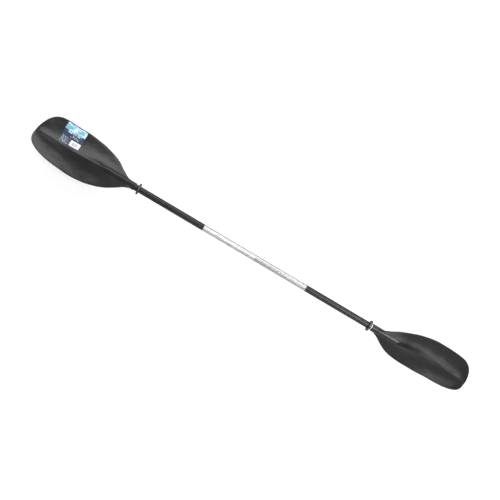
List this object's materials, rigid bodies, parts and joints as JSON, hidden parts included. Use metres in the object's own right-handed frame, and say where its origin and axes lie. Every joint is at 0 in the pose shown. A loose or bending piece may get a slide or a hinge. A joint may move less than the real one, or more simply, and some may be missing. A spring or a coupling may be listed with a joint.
{
  "type": "kayak paddle",
  "caption": "Take-apart kayak paddle: spooned plastic blades, feathered to each other, on an aluminium shaft with dark grip sleeves and sliding drip rings.",
  "frame": {"origin": "on the shaft's axis, at the centre joint between its halves", "axes": "+X along the shaft to the unlabelled blade, +Y across the labelled blade to its label side, +Z out of the labelled blade's power face"},
  "size_m": [2.1994, 0.2204, 0.194],
  "materials": {
    "blade_plastic": "moulded, slightly glossy dark grey",
    "label_film": "printed film",
    "shaft_aluminium": "satin anodised silver",
    "grip_sleeve": "matt",
    "ring_rubber": "matt",
    "rivet_aluminium": "plain",
    "foam": "closed-cell foam",
    "ferrule_nylon": "moulded",
    "spring_steel": "plain stainless"
  },
  "bodies": {
    "left_half": {"left_blade": "blade_plastic", "blade_label": "label_film", "left_shaft_tube": "shaft_aluminium", "left_grip": "grip_sleeve", "left_blade_rivet_1": "rivet_aluminium", "left_blade_rivet_2": "rivet_aluminium", "left_end_plug": "foam", "left_bung": "foam", "ferrule_sleeve": "ferrule_nylon", "ferrule_end_cap": "ferrule_nylon", "ferrule_rivet_1": "rivet_aluminium", "ferrule_rivet_2": "rivet_aluminium", "snap_spring": "spring_steel"},
    "seal": {"ferrule_o_ring": "ring_rubber"},
    "right_half": {"right_blade": "blade_plastic", "right_shaft_tube": "shaft_aluminium", "right_grip": "grip_sleeve", "right_blade_rivet_1": "rivet_aluminium", "right_blade_rivet_2": "rivet_aluminium", "right_end_plug": "foam", "right_bung": "foam"},
    "button": {"snap_button": "spring_steel"},
    "left_ring": {"left_drip_ring": "ring_rubber"},
    "right_ring": {"right_drip_ring": "ring_rubber"}
  },
  "joints": [
    {"name": "feather_turn", "type": "hinge", "parent": "left_half", "child": "seal", "pos_m": [0.03, 0, 0], "axis": [1, 0, 0], "range_deg": [-120, 0], "deforming": ["snap_button"]},
    {"name": "pull_apart", "type": "slide", "parent": "seal", "child": "right_half", "axis": [1, 0, 0], "range_m": [0, 0.125]},
    {"name": "button_press", "type": "slide", "parent": "left_half", "child": "button", "axis": [0, 0, 1], "range_m": [0, 0.0035], "stiffness_N_per_m": 1200, "springref_m": -0.002, "deforming": ["snap_spring"]},
    {"name": "left_ring_slide", "type": "slide", "parent": "left_half", "child": "left_ring", "axis": [1, 0, 0], "range_m": [-0.01, 0.29]},
    {"name": "right_ring_slide", "type": "slide", "parent": "right_half", "child": "right_ring", "axis": [-1, 0, 0], "range_m": [-0.005, 0.29]}
  ]
}
